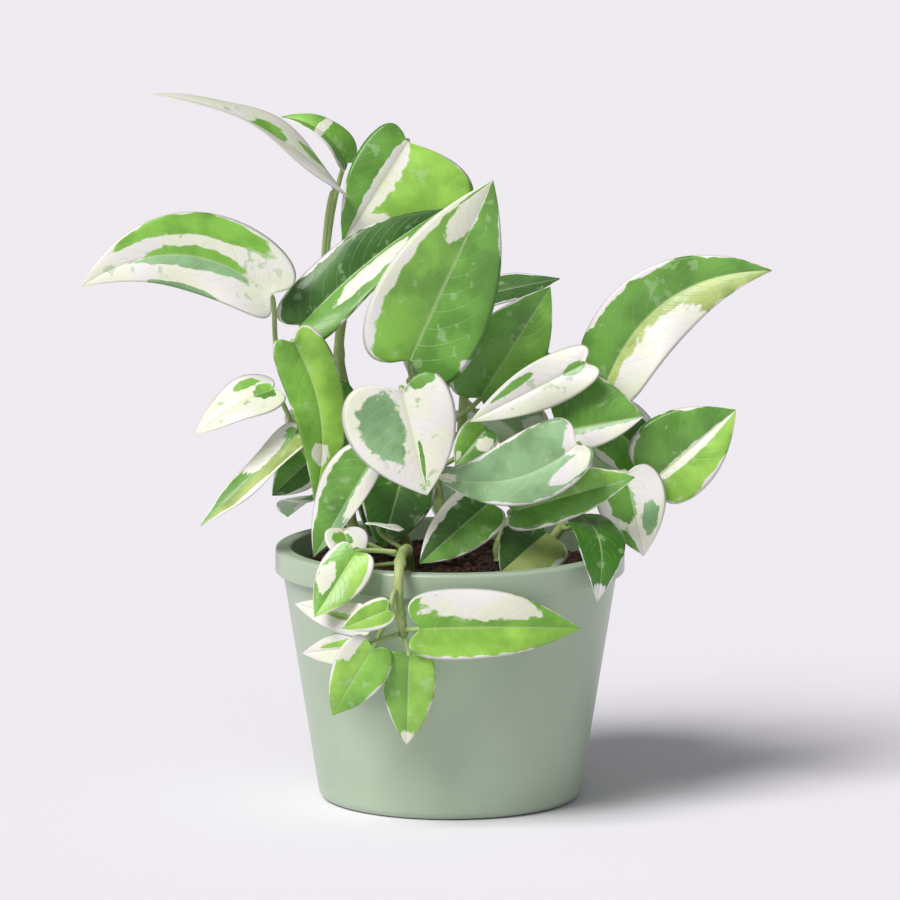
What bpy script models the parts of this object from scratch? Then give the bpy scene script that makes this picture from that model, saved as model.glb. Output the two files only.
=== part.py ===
"""A potted pothos: a turned pot, its soil, rooted vines, and leaves that are each blade and stalk in one."""

import math
from typing import NamedTuple

import bmesh
import bpy
from mathutils import Vector

MM = 0.001
GAP = 0.3

# Pot, in millimetres
POT_HEIGHT = 102
RIM_RADIUS = 70
RIM_INNER_RADIUS = 63.5
RIM_BAND = 10
BODY_TOP_RADIUS = 67
BODY_BASE_RADIUS = 53
WALL = 5
FLOOR = 6
BASE_CORNER = 4
POT_STEPS = 40

# Soil
SOIL_LEVEL = 94

# Stems and leaves, in millimetres
VINE_RADIUS = 2.0
STALK_RADIUS = 1.0
BLADE_THICK = 1.0
TIP_HALF_WIDTH = 0.5
# Rings are given as shares of the stalk or of the blade
STALK_RINGS = (0.0, 0.3, 0.6, 0.85)
BLADE_RINGS = (0.0, 0.05, 0.16, 0.34, 0.56, 0.8, 1.0)

POT_GREEN = (0.38, 0.49, 0.36)
SOIL_BROWN = (0.045, 0.016, 0.012)
VINE_GREEN = (0.30, 0.42, 0.13)
LEAF_GREEN = (0.18, 0.36, 0.07)
LEAF_CREAM = (0.72, 0.78, 0.60)
LEAF_LIME = (0.34, 0.54, 0.12)


class Vine(NamedTuple):
    """A stem through hand-placed points, from the soil up or over the rim."""

    name: str
    points: tuple
    radius: float = VINE_RADIUS


class Leaf(NamedTuple):
    """A leaf in millimetres.

    halves are its half widths left and right of the midrib, with its tip up and its upper side near.
    """

    name: str
    vine: str
    at: float
    base: tuple
    tip: tuple
    faces: tuple
    halves: tuple
    bend: float = 0.0
    arch: float = 0.0
    fold: float = 10.0
    heart: float = 0.22
    sway: tuple = (0, 0, 0)
    colour: tuple = LEAF_GREEN


SOIL_TOP = SOIL_LEVEL + 2 * GAP

VINES = (
    Vine("vine_left", (
        (-36, -6, SOIL_TOP), (-36, -6, 102), (-44, -10, 128),
        (-54, -12, 156), (-62, -13, 181),
    )),
    Vine("vine_top", (
        (-18, 12, SOIL_TOP), (-18, 12, 102), (-32, 14, 135),
        (-44, 17, 172), (-42, 22, 198), (-38, 28, 216),
    )),
    Vine("vine_centre", ((-2, 4, SOIL_TOP), (-2, 4, 102), (-6, 6, 130), (-12, 4, 155), (-16, 0, 170))),
    Vine("vine_right", ((20, 6, SOIL_TOP), (20, 6, 102), (32, 8, 124), (46, 8, 142), (56, 6, 156))),
    Vine("vine_low_right", (
        (38, -6, SOIL_TOP), (38, -6, 100), (46, -8, 112),
        (58, -9, 122), (68, -10, 130),
    )),
    Vine("vine_back", ((2, 34, SOIL_TOP), (2, 34, 102), (4, 40, 130), (6, 44, 160))),
    Vine("vine_over_rim", (
        (-16, -34, SOIL_TOP), (-16, -35, 100), (-17, -48, 108),
        (-19, -64, 109), (-20, -75, 103), (-20, -77, 92),
        (-18, -76, 78),
    )),
)

LEAVES = (
    Leaf("leaf_far_left", "vine_left", 0.97, (-71, -14, 205), (-146, -20, 209), (-0.1, -1, 0.3), (15, 19),
         bend=14, arch=3),
    Leaf("leaf_top_left", "vine_left", 0.8, (-46, 12, 245), (-119, -4, 284), (0.47, -0.13, 0.87),
         (15, 15), arch=8,
         fold=15, sway=(-4, 10, 0), colour=LEAF_CREAM),
    Leaf("leaf_top_small", "vine_top", 0.8, (-42, 34, 252), (-68, 38, 270), (0.3, -0.5, 0.8), (9, 9),
         arch=6, fold=25),
    Leaf("leaf_crown", "vine_top", 1.0, (-17, 20, 262), (-43, 10, 222), (0.1, -1, 0.2), (36, 15), arch=2,
         sway=(0, 6, 3), colour=LEAF_LIME),
    Leaf("leaf_left_upper", "vine_left", 1.0, (-59, -8, 192), (-2, 6, 237), (-0.35, -0.85, 0.35),
         (15, 16), bend=-3, fold=30),
    Leaf("leaf_centre", "vine_centre", 1.0, (-16, -16, 179), (17, -24, 252), (0.05, -1, 0.12), (25, 23),
         arch=-2, fold=14),
    Leaf("leaf_right_of_centre", "vine_centre", 0.7, (12, -5, 162), (40, 2, 206), (0.1, -1, 0.1), (18, 16)),
    Leaf("leaf_dark_behind", "vine_centre", 0.9, (0, 10, 199), (44, 12, 208), (0, -0.5, 0.85), (11, 11)),
    Leaf("leaf_upper_right", "vine_right", 1.0, (62, -2, 167), (128, -8, 214), (-0.15, -1, 0.2), (17, 18),
         bend=-14, fold=18),
    Leaf("leaf_right_centre", "vine_right", 0.7, (44, -14, 150), (77, -18, 157), (-0.1, -1, 0.3), (23, 9)),
    Leaf("leaf_pale_centre", "vine_low_right", 0.5, (50, -46, 150), (-6, -48, 138), (0, -1, 0.25),
         (12, 17), bend=-8,
         fold=8, colour=LEAF_CREAM),
    Leaf("leaf_lower_right", "vine_right", 0.35, (25, -38, 122), (73, -40, 136), (0, -1, 0.3), (13, 10)),
    Leaf("leaf_round_front", "vine_centre", 0.75, (-19, -54, 173), (-9, -60, 132), (0, -1, 0.25),
         (19, 26), heart=0.32, colour=LEAF_CREAM),
    Leaf("leaf_left_vertical", "vine_left", 0.93, (-62, -20, 187), (-54, -26, 124), (0.3, -0.95, 0),
         (12, 12), bend=-7),
    Leaf("leaf_below_left", "vine_left", 0.4, (-31, -36, 142), (-54, -34, 103), (-0.2, -1, 0.2), (6, 14)),
    Leaf("leaf_yellow_left", "vine_left", 0.65, (-61, -18, 149), (-99, -26, 114), (-0.5, -0.6, 0.6),
         (9, 9), colour=LEAF_LIME),
    Leaf("leaf_dark_under", "vine_left", 0.5, (-55, -4, 138), (-71, -6, 123), (-0.2, -1, 0.3), (9, 9)),
    Leaf("leaf_white_left", "vine_left", 0.45, (-70, -14, 167), (-101, -20, 150), (-0.35, -0.6, 0.7),
         (12, 12), arch=3,
         colour=LEAF_CREAM),
    Leaf("leaf_twisted", "vine_over_rim", 0.15, (-42, -47, 116), (-38, -57, 104), (0.3, -0.9, 0.3),
         (9, 9), colour=LEAF_CREAM),
    Leaf("leaf_curved_cream", "vine_over_rim", 0.2, (-28, -36, 116), (-20, -50, 116), (0.5, -0.8, 0.2),
         (8, 8), colour=LEAF_CREAM),
    Leaf("leaf_dark_gap", "vine_centre", 0.4, (-18, -14, 136), (-27, -20, 104), (0, -1, 0.2), (15, 15)),
    Leaf("leaf_front_low", "vine_centre", 0.2, (15, -32, 124), (-12, -50, 103), (-0.1, -0.9, 0.35),
         (12, 12)),
    Leaf("leaf_brown_green", "vine_low_right", 0.15, (38, -21, 110), (20, -46, 99), (0, -0.95, 0.3),
         (14, 14)),
    Leaf("leaf_over_rim_right", "vine_low_right", 0.4, (52, -27, 118), (58, -51, 88), (0.4, -0.9, 0.1),
         (12, 12), arch=11),
    Leaf("leaf_white_right", "vine_low_right", 0.8, (70, -16, 134), (77, -26, 102), (0.2, -1, 0.2),
         (14, 15), colour=LEAF_CREAM),
    Leaf("leaf_right_outer", "vine_low_right", 1.0, (82, -8, 130), (114, -8, 158), (0, -1, 0.2), (20, 16),
         fold=15, colour=LEAF_LIME),
    Leaf("leaf_pot_front", "vine_over_rim", 0.95, (-12, -83, 83), (51, -66, 80), (0.1, -1, 0.35),
         (16, 13), arch=3, colour=LEAF_CREAM),
    Leaf("leaf_hang_left", "vine_over_rim", 0.97, (-30, -84, 76), (-46, -80, 48), (0, -1, 0.1), (11, 11),
         colour=LEAF_LIME),
    Leaf("leaf_hang_low", "vine_over_rim", 1.0, (-16, -82, 72), (-17, -78, 36), (0, -1, 0.1), (11, 10),
         colour=LEAF_LIME),
    Leaf("leaf_cream_upper", "vine_over_rim", 0.8, (-32, -76, 84), (-61, -56, 88), (-0.2, -1, 0.2),
         (7, 7), colour=LEAF_CREAM),
    Leaf("leaf_cream_lower", "vine_over_rim", 0.88, (-32, -76, 75), (-58, -60, 69), (-0.2, -1, 0.2),
         (7, 7), colour=LEAF_CREAM),
    Leaf("leaf_small_yellow", "vine_over_rim", 0.75, (-24, -84, 91), (-42, -88, 84), (0, -1, 0.2), (6, 6),
         colour=LEAF_LIME),
    Leaf("leaf_over_rim_left", "vine_over_rim", 0.45, (-37, -65, 110), (-53, -74, 86), (-0.3, -1, 0.2),
         (11, 10), colour=LEAF_LIME),
    Leaf("leaf_on_soil", "vine_over_rim", 0.1, (-40, -38, 102), (-53, -28, 98), (0, -0.6, 0.8), (5, 5)),
    Leaf("leaf_dark_middle", "vine_centre", 0.5, (14, -6, 150), (2, -12, 136), (0, -1, 0.3), (8, 8)),
    Leaf("leaf_white_band", "vine_right", 0.85, (54, -16, 178), (8, -20, 155), (0, -1, 0.3), (10, 10),
         colour=LEAF_CREAM),
    Leaf("leaf_deep_left", "vine_top", 0.12, (-25, 0, 134), (-32, -4, 106), (-0.2, -1, 0.2), (12, 11)),
    Leaf("leaf_inner_left", "vine_left", 0.35, (-52, 4, 164), (-40, -2, 134), (0, -1, 0.2), (13, 13)),
    Leaf("leaf_inner_right", "vine_right", 0.9, (62, 16, 150), (88, 14, 128), (0.2, -1, 0.3), (14, 14)),
    Leaf("leaf_back_right", "vine_back", 0.9, (12, 54, 148), (38, 80, 120), (0.2, 0.6, 0.8), (20, 20),
         arch=5),
    Leaf("leaf_back_left", "vine_back", 0.7, (-6, 52, 138), (-42, 78, 118), (-0.2, 0.6, 0.8), (20, 20),
         arch=5),
    Leaf("leaf_back_top", "vine_back", 1.0, (4, 56, 172), (-10, 86, 148), (0, 0.6, 0.8), (20, 20), arch=5),
    Leaf("leaf_back_far_left", "vine_top", 0.4, (-42, 34, 156), (-62, 66, 132), (-0.4, 0.5, 0.8),
         (17, 17), arch=5),
    Leaf("leaf_back_far_right", "vine_right", 0.5, (44, 32, 136), (66, 64, 112), (0.4, 0.5, 0.8),
         (17, 17), arch=5),
    Leaf("leaf_back_upper_right", "vine_right", 0.8, (46, 24, 170), (32, 58, 166), (0.1, 0.5, 0.8),
         (16, 16), arch=5),
    Leaf("leaf_back_low_right", "vine_low_right", 0.45, (58, 14, 120), (80, 40, 104), (0.4, 0.4, 0.8),
         (14, 14), arch=3),
    Leaf("leaf_back_low_left", "vine_left", 0.25, (-50, 12, 120), (-66, 44, 106), (-0.4, 0.4, 0.8),
         (14, 14), arch=3),
    Leaf("leaf_back_trailing", "vine_back", 0.4, (6, 62, 122), (2, 88, 86), (0, 0.9, 0.4), (17, 17),
         arch=8),
)


def clear_scene():
    for obj in list(bpy.data.objects):
        bpy.data.objects.remove(obj, do_unlink=True)


def material(name, colour, roughness, metallic=0.0):
    made = bpy.data.materials.new(name)
    made.use_nodes = True
    shader = made.node_tree.nodes["Principled BSDF"]
    shader.inputs["Base Color"].default_value = (*colour, 1)
    shader.inputs["Roughness"].default_value = roughness
    shader.inputs["Metallic"].default_value = metallic
    return made


def add_object(name, data, collection, finish):
    obj = bpy.data.objects.new(name, data)
    data.materials.append(finish)
    collection.objects.link(obj)
    return obj


def turned(name, profile, collection, finish):
    """Spins a profile of (radius, height) round Z.

    The profile runs from the axis down the outer side and back to the axis.
    """
    mesh = bpy.data.meshes.new(name)
    points = [(radius * MM, 0, height * MM) for radius, height in profile]
    mesh.from_pydata(points, [(i, i + 1) for i in range(len(points) - 1)], [])
    obj = add_object(name, mesh, collection, finish)
    screw = obj.modifiers.new("Turn", "SCREW")
    screw.steps = POT_STEPS
    screw.render_steps = POT_STEPS
    screw.use_merge_vertices = True
    screw.merge_threshold = 0.00005
    screw.use_smooth_shade = True
    return obj


def arc(centre, radius, start, end, count):
    """Points on an arc in the profile's plane, angles in degrees from +X."""
    angles = [math.radians(start + (end - start) * i / count) for i in range(count + 1)]
    return [(centre[0] + radius * math.cos(a), centre[1] + radius * math.sin(a)) for a in angles]


def inner_radius(height):
    """The pot's inner wall follows its taper, a wall's thickness inside."""
    share = height / (POT_HEIGHT - RIM_BAND)
    return BODY_BASE_RADIUS - WALL + (BODY_TOP_RADIUS - BODY_BASE_RADIUS) * min(share, 1.0)


def build_pot(collection):
    edge = 1.0
    band_foot = POT_HEIGHT - RIM_BAND
    profile = [(0, FLOOR)]
    profile += [(inner_radius(FLOOR), FLOOR)]
    profile += [(inner_radius(band_foot), band_foot)]
    profile += [(RIM_INNER_RADIUS, POT_HEIGHT - edge), (RIM_INNER_RADIUS + edge, POT_HEIGHT)]
    profile += arc((RIM_RADIUS - edge, POT_HEIGHT - edge), edge, 90, 0, 2)
    profile += [(RIM_RADIUS, band_foot), (BODY_TOP_RADIUS, band_foot)]
    profile += arc((BODY_BASE_RADIUS - BASE_CORNER, BASE_CORNER), BASE_CORNER, 0, -90, 3)
    profile += [(0, 0)]
    return turned("pot", profile, collection, material("pot_glaze", POT_GREEN, 0.35))


def build_soil(collection):
    foot = FLOOR + GAP
    top_radius = RIM_INNER_RADIUS - 1.5 - GAP
    profile = [
        (0, SOIL_LEVEL),
        (top_radius - 2, SOIL_LEVEL),
        (top_radius - GAP, SOIL_LEVEL - 1.5),
        (inner_radius(foot) - GAP, foot),
        (0, foot),
    ]
    return turned("soil", profile, collection, material("soil", SOIL_BROWN, 0.95))


def catmull_rom(points, steps):
    """A smooth route through the points, with steps stretches between each pair."""
    knots = [Vector(p) for p in points]
    knots = [2 * knots[0] - knots[1], *knots, 2 * knots[-1] - knots[-2]]
    route = []
    for a, b, c, d in zip(knots, knots[1:], knots[2:], knots[3:]):
        for i in range(steps):
            t = i / steps
            route.append(
                0.5
                * (
                    2 * b
                    + (c - a) * t
                    + (2 * a - 5 * b + 4 * c - d) * t**2
                    + (3 * b - a - 3 * c + d) * t**3
                )
            )
    return [*route, knots[-2]]


def point_along(route, share):
    """The point and the direction at this share of a route's length."""
    lengths = [(b - a).length for a, b in zip(route, route[1:])]
    left = share * sum(lengths)
    for a, b, length in zip(route, route[1:], lengths):
        if left <= length:
            return a.lerp(b, left / length), (b - a).normalized()
        left -= length
    return route[-1].copy(), (route[-1] - route[-2]).normalized()


def build_tube(name, route, radius, collection, finish):
    curve = bpy.data.curves.new(name, "CURVE")
    curve.dimensions = "3D"
    curve.bevel_depth = radius * MM
    curve.bevel_resolution = 2
    curve.use_fill_caps = True
    spline = curve.splines.new("POLY")
    spline.points.add(len(route) - 1)
    for point, place in zip(spline.points, route):
        point.co = (*(place * MM), 1)
    return add_object(name, curve, collection, finish)


def blade_frame(leaf, u):
    """The midrib's point, direction, right side and upper side at u, from 0 at the stalk to 1 at the tip."""
    base, tip = Vector(leaf.base), Vector(leaf.tip)
    along = (tip - base).normalized()
    up = Vector(leaf.faces)
    up = (up - up.dot(along) * along).normalized()
    side = along.cross(up)
    bulge = side * leaf.bend + up * leaf.arch
    point = base.lerp(tip, u) + bulge * 4 * u * (1 - u)
    along = (tip - base + bulge * 4 * (1 - 2 * u)).normalized()
    up = (up - up.dot(along) * along).normalized()
    return point, along, along.cross(up), up


def width_at(u):
    """Half the blade's width along it, as a share of its widest.

    It is full and round near the stalk, and pointed at the tip.
    """
    return (u**0.45 * (1 - u) ** 0.95) / 0.415 if 0 < u < 1 else 0.0


def blade_ring(leaf, u):
    """Eight points round the blade: its two edges, and three on each side of the leaf between them."""
    point, along, side, up = blade_frame(leaf, u)
    length = (Vector(leaf.tip) - Vector(leaf.base)).length
    fold = math.radians(leaf.fold)
    thick = BLADE_THICK / 2 * (1 - 0.6 * u)
    shape = width_at(u)
    smallest = STALK_RADIUS * (1 - u) + TIP_HALF_WIDTH * u
    back = leaf.heart * length * shape * (1 - u) ** 3

    def across(v):
        half = max((leaf.halves[0] if v < 0 else leaf.halves[1]) * shape, smallest)
        reach = side * math.copysign(half * abs(v) * math.cos(fold), v) if v else Vector()
        return point + reach + up * half * abs(v) * math.sin(fold) - along * back * abs(v)

    upper = [across(v) + up * (thick if abs(v) < 1 else 0) for v in (-1, -0.5, 0, 0.5, 1)]
    lower = [across(v) - up * thick for v in (0.5, 0, -0.5)]
    return upper + lower


def stalk_rings(leaf, route):
    """Round rings along the stalk, from its vine to the blade.

    They are turned so that they meet the blade without twist.
    """
    start, vine_way = point_along(route, leaf.at)
    base, along, side, up = blade_frame(leaf, 0)
    away = base - start
    away = (away - away.dot(vine_way) * vine_way).normalized()
    start = start + away * (VINE_RADIUS + GAP)
    reach = (base - start).length
    handle = min(10.0, 0.35 * reach)
    sway = Vector(leaf.sway)
    first = start + away * handle + sway
    second = base - along * handle * 0.6 - up * handle * 0.8 + sway

    def bezier(t):
        s = 1 - t
        return start * s**3 + first * 3 * s * s * t + second * 3 * s * t * t + base * t**3

    def way(t):
        s = 1 - t
        return ((first - start) * s * s + (second - first) * 2 * s * t + (base - second) * t * t).normalized()

    rings = []
    previous = along
    for t in reversed(STALK_RINGS):
        turn = previous.rotation_difference(way(t))
        side, up = turn @ side, turn @ up
        previous = way(t)
        angles = [math.radians(180 - 45 * i) for i in range(8)]
        rings.append([
            bezier(t) + side * math.cos(a) * STALK_RADIUS + up * math.sin(a) * STALK_RADIUS for a in angles
        ])
    return rings[::-1]


def loft(name, rings):
    """A closed solid through rings of the same number of points, capped at both ends."""
    mesh = bpy.data.meshes.new(name)
    shape = bmesh.new()
    rows = [[shape.verts.new(p * MM) for p in ring] for ring in rings]
    count = len(rows[0])
    for row, after in zip(rows, rows[1:]):
        for i in range(count):
            j = (i + 1) % count
            shape.faces.new((row[i], row[j], after[j], after[i]))
    shape.faces.new(rows[0][::-1])
    shape.faces.new(rows[-1])
    bmesh.ops.triangulate(shape, faces=shape.faces)
    bmesh.ops.recalc_face_normals(shape, faces=shape.faces)
    shape.to_mesh(mesh)
    shape.free()
    mesh.shade_smooth()
    return mesh


def build_leaf(leaf, routes, collection):
    rings = stalk_rings(leaf, routes[leaf.vine]) + [blade_ring(leaf, u) for u in BLADE_RINGS]
    finish = material(leaf.name, leaf.colour, 0.4)
    return add_object(leaf.name, loft(leaf.name, rings), collection, finish)


def main():
    clear_scene()
    collection = bpy.data.collections.new("potted_pothos")
    bpy.context.scene.collection.children.link(collection)
    build_pot(collection)
    build_soil(collection)
    routes = {}
    for vine in VINES:
        routes[vine.name] = catmull_rom(vine.points, 3)
        green = material(vine.name, VINE_GREEN, 0.5)
        build_tube(vine.name, routes[vine.name], vine.radius, collection, green)
    for leaf in LEAVES:
        build_leaf(leaf, routes, collection)


main()
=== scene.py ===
import math
from typing import NamedTuple

import bmesh
import bpy
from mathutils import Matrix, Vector, noise


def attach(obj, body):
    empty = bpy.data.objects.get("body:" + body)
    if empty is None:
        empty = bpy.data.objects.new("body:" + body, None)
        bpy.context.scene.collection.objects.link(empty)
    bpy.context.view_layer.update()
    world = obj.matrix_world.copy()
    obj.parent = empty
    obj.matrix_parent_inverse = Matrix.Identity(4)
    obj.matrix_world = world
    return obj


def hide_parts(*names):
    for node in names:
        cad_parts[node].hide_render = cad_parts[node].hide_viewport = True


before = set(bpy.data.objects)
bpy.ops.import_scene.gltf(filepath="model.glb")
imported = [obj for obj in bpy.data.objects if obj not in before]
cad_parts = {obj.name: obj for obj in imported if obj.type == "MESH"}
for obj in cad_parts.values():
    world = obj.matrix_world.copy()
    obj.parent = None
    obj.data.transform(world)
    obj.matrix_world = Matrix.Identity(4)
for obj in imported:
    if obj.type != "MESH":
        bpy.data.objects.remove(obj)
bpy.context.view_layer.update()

MM = 0.001
GAP = 0.3

# Pot, in millimetres
POT_HEIGHT = 102
RIM_RADIUS = 70
RIM_INNER_RADIUS = 63.5
RIM_BAND = 10
BODY_TOP_RADIUS = 67
BODY_BASE_RADIUS = 53
WALL = 5
FLOOR = 6
BASE_CORNER = 4

# Soil
SOIL_LEVEL = 94

# Stems and leaves, in millimetres
VINE_RADIUS = 2.0
STALK_RADIUS = 1.0

# The blade's outline: how fast it widens and narrows, and the value at its widest
WIDENING = 0.45
NARROWING = 0.95
WIDEST = 0.415


class Vine(NamedTuple):
    """A stem through given points, from the soil up or over the rim."""

    name: str
    points: tuple
    radius: float = VINE_RADIUS


class Leaf(NamedTuple):
    """A leaf in millimetres.

    halves are its half widths left and right of the midrib, with its tip up and its upper side near.
    """

    name: str
    vine: str
    at: float
    base: tuple
    tip: tuple
    faces: tuple
    halves: tuple
    bend: float = 0.0
    arch: float = 0.0
    fold: float = 10.0
    heart: float = 0.22
    sway: tuple = (0, 0, 0)


SOIL_TOP = SOIL_LEVEL + 2 * GAP

VINES = (
    Vine("vine_left", (
        (-36, -6, SOIL_TOP), (-36, -6, 102), (-44, -10, 128),
        (-54, -12, 156), (-62, -13, 181),
    )),
    Vine("vine_top", (
        (-18, 12, SOIL_TOP), (-18, 12, 102), (-32, 14, 135),
        (-44, 17, 172), (-42, 22, 198), (-38, 28, 216),
    )),
    Vine("vine_centre", ((-2, 4, SOIL_TOP), (-2, 4, 102), (-6, 6, 130), (-12, 4, 155), (-16, 0, 170))),
    Vine("vine_right", ((20, 6, SOIL_TOP), (20, 6, 102), (32, 8, 124), (46, 8, 142), (56, 6, 156))),
    Vine("vine_low_right", (
        (38, -6, SOIL_TOP), (38, -6, 100), (46, -8, 112),
        (58, -9, 122), (68, -10, 130),
    )),
    Vine("vine_back", ((2, 34, SOIL_TOP), (2, 34, 102), (4, 40, 130), (6, 44, 160))),
    Vine("vine_over_rim", (
        (-16, -34, SOIL_TOP), (-16, -35, 100), (-17, -48, 108),
        (-19, -64, 109), (-20, -75, 103), (-20, -77, 92),
        (-18, -76, 78),
    )),
)

LEAVES = (
    Leaf("leaf_far_left", "vine_left", 0.97, (-71, -14, 205), (-146, -20, 209), (-0.1, -1, 0.3), (15, 19),
         bend=14, arch=3),
    Leaf("leaf_top_left", "vine_left", 0.8, (-46, 12, 245), (-119, -4, 284), (0.47, -0.13, 0.87), (15, 15),
         arch=8, fold=15, sway=(-4, 10, 0)),
    Leaf("leaf_top_small", "vine_top", 0.8, (-42, 34, 252), (-68, 38, 270), (0.3, -0.5, 0.8), (9, 9), arch=6,
         fold=25),
    Leaf("leaf_crown", "vine_top", 1.0, (-17, 20, 262), (-43, 10, 222), (0.1, -1, 0.2), (36, 15), arch=2,
         sway=(0, 6, 3)),
    Leaf("leaf_left_upper", "vine_left", 1.0, (-59, -8, 192), (-2, 6, 237), (-0.35, -0.85, 0.35), (15, 16),
         bend=-3, fold=30),
    Leaf("leaf_centre", "vine_centre", 1.0, (-16, -16, 179), (17, -24, 252), (0.05, -1, 0.12), (25, 23),
         arch=-2, fold=14),
    Leaf("leaf_right_of_centre", "vine_centre", 0.7, (12, -5, 162), (40, 2, 206), (0.1, -1, 0.1), (18, 16)),
    Leaf("leaf_dark_behind", "vine_centre", 0.9, (0, 10, 199), (44, 12, 208), (0, -0.5, 0.85), (11, 11)),
    Leaf("leaf_upper_right", "vine_right", 1.0, (62, -2, 167), (128, -8, 214), (-0.15, -1, 0.2), (17, 18),
         bend=-14, fold=18),
    Leaf("leaf_right_centre", "vine_right", 0.7, (44, -14, 150), (77, -18, 157), (-0.1, -1, 0.3), (23, 9)),
    Leaf("leaf_pale_centre", "vine_low_right", 0.5, (50, -46, 150), (-6, -48, 138), (0, -1, 0.25), (12, 17),
         bend=-8, fold=8),
    Leaf("leaf_lower_right", "vine_right", 0.35, (25, -38, 122), (73, -40, 136), (0, -1, 0.3), (13, 10)),
    Leaf("leaf_round_front", "vine_centre", 0.75, (-19, -54, 173), (-9, -60, 132), (0, -1, 0.25), (19, 26),
         heart=0.32),
    Leaf("leaf_left_vertical", "vine_left", 0.93, (-62, -20, 187), (-54, -26, 124), (0.3, -0.95, 0), (12, 12),
         bend=-7),
    Leaf("leaf_below_left", "vine_left", 0.4, (-31, -36, 142), (-54, -34, 103), (-0.2, -1, 0.2), (6, 14)),
    Leaf("leaf_yellow_left", "vine_left", 0.65, (-61, -18, 149), (-99, -26, 114), (-0.5, -0.6, 0.6), (9, 9)),
    Leaf("leaf_dark_under", "vine_left", 0.5, (-55, -4, 138), (-71, -6, 123), (-0.2, -1, 0.3), (9, 9)),
    Leaf("leaf_white_left", "vine_left", 0.45, (-70, -14, 167), (-101, -20, 150), (-0.35, -0.6, 0.7),
         (12, 12), arch=3),
    Leaf("leaf_twisted", "vine_over_rim", 0.15, (-42, -47, 116), (-38, -57, 104), (0.3, -0.9, 0.3), (9, 9)),
    Leaf("leaf_curved_cream", "vine_over_rim", 0.2, (-28, -36, 116), (-20, -50, 116), (0.5, -0.8, 0.2),
         (8, 8)),
    Leaf("leaf_dark_gap", "vine_centre", 0.4, (-18, -14, 136), (-27, -20, 104), (0, -1, 0.2), (15, 15)),
    Leaf("leaf_front_low", "vine_centre", 0.2, (15, -32, 124), (-12, -50, 103), (-0.1, -0.9, 0.35), (12, 12)),
    Leaf("leaf_brown_green", "vine_low_right", 0.15, (38, -21, 110), (20, -46, 99), (0, -0.95, 0.3),
         (14, 14)),
    Leaf("leaf_over_rim_right", "vine_low_right", 0.4, (52, -27, 118), (58, -51, 88), (0.4, -0.9, 0.1),
         (12, 12), arch=11),
    Leaf("leaf_white_right", "vine_low_right", 0.8, (70, -16, 134), (77, -26, 102), (0.2, -1, 0.2), (14, 15)),
    Leaf("leaf_right_outer", "vine_low_right", 1.0, (82, -8, 130), (114, -8, 158), (0, -1, 0.2), (20, 16),
         fold=15),
    Leaf("leaf_pot_front", "vine_over_rim", 0.95, (-12, -83, 83), (51, -66, 80), (0.1, -1, 0.35), (16, 13),
         arch=3),
    Leaf("leaf_hang_left", "vine_over_rim", 0.97, (-30, -84, 76), (-46, -80, 48), (0, -1, 0.1), (11, 11)),
    Leaf("leaf_hang_low", "vine_over_rim", 1.0, (-16, -82, 72), (-17, -78, 36), (0, -1, 0.1), (11, 10)),
    Leaf("leaf_cream_upper", "vine_over_rim", 0.8, (-32, -76, 84), (-61, -56, 88), (-0.2, -1, 0.2), (7, 7)),
    Leaf("leaf_cream_lower", "vine_over_rim", 0.88, (-32, -76, 75), (-58, -60, 69), (-0.2, -1, 0.2), (7, 7)),
    Leaf("leaf_small_yellow", "vine_over_rim", 0.75, (-24, -84, 91), (-42, -88, 84), (0, -1, 0.2), (6, 6)),
    Leaf("leaf_over_rim_left", "vine_over_rim", 0.45, (-37, -65, 110), (-53, -74, 86), (-0.3, -1, 0.2),
         (11, 10)),
    Leaf("leaf_on_soil", "vine_over_rim", 0.1, (-40, -38, 102), (-53, -28, 98), (0, -0.6, 0.8), (5, 5)),
    Leaf("leaf_dark_middle", "vine_centre", 0.5, (14, -6, 150), (2, -12, 136), (0, -1, 0.3), (8, 8)),
    Leaf("leaf_white_band", "vine_right", 0.85, (54, -16, 178), (8, -20, 155), (0, -1, 0.3), (10, 10)),
    Leaf("leaf_deep_left", "vine_top", 0.12, (-25, 0, 134), (-32, -4, 106), (-0.2, -1, 0.2), (12, 11)),
    Leaf("leaf_inner_left", "vine_left", 0.35, (-52, 4, 164), (-40, -2, 134), (0, -1, 0.2), (13, 13)),
    Leaf("leaf_inner_right", "vine_right", 0.9, (62, 16, 150), (88, 14, 128), (0.2, -1, 0.3), (14, 14)),
    Leaf("leaf_back_right", "vine_back", 0.9, (12, 54, 148), (38, 80, 120), (0.2, 0.6, 0.8), (20, 20),
         arch=5),
    Leaf("leaf_back_left", "vine_back", 0.7, (-6, 52, 138), (-42, 78, 118), (-0.2, 0.6, 0.8), (20, 20),
         arch=5),
    Leaf("leaf_back_top", "vine_back", 1.0, (4, 56, 172), (-10, 86, 148), (0, 0.6, 0.8), (20, 20), arch=5),
    Leaf("leaf_back_far_left", "vine_top", 0.4, (-42, 34, 156), (-62, 66, 132), (-0.4, 0.5, 0.8), (17, 17),
         arch=5),
    Leaf("leaf_back_far_right", "vine_right", 0.5, (44, 32, 136), (66, 64, 112), (0.4, 0.5, 0.8), (17, 17),
         arch=5),
    Leaf("leaf_back_upper_right", "vine_right", 0.8, (46, 24, 170), (32, 58, 166), (0.1, 0.5, 0.8), (16, 16),
         arch=5),
    Leaf("leaf_back_low_right", "vine_low_right", 0.45, (58, 14, 120), (80, 40, 104), (0.4, 0.4, 0.8),
         (14, 14), arch=3),
    Leaf("leaf_back_low_left", "vine_left", 0.25, (-50, 12, 120), (-66, 44, 106), (-0.4, 0.4, 0.8), (14, 14),
         arch=3),
    Leaf("leaf_back_trailing", "vine_back", 0.4, (6, 62, 122), (2, 88, 86), (0, 0.9, 0.4), (17, 17), arch=8),
)


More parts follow.
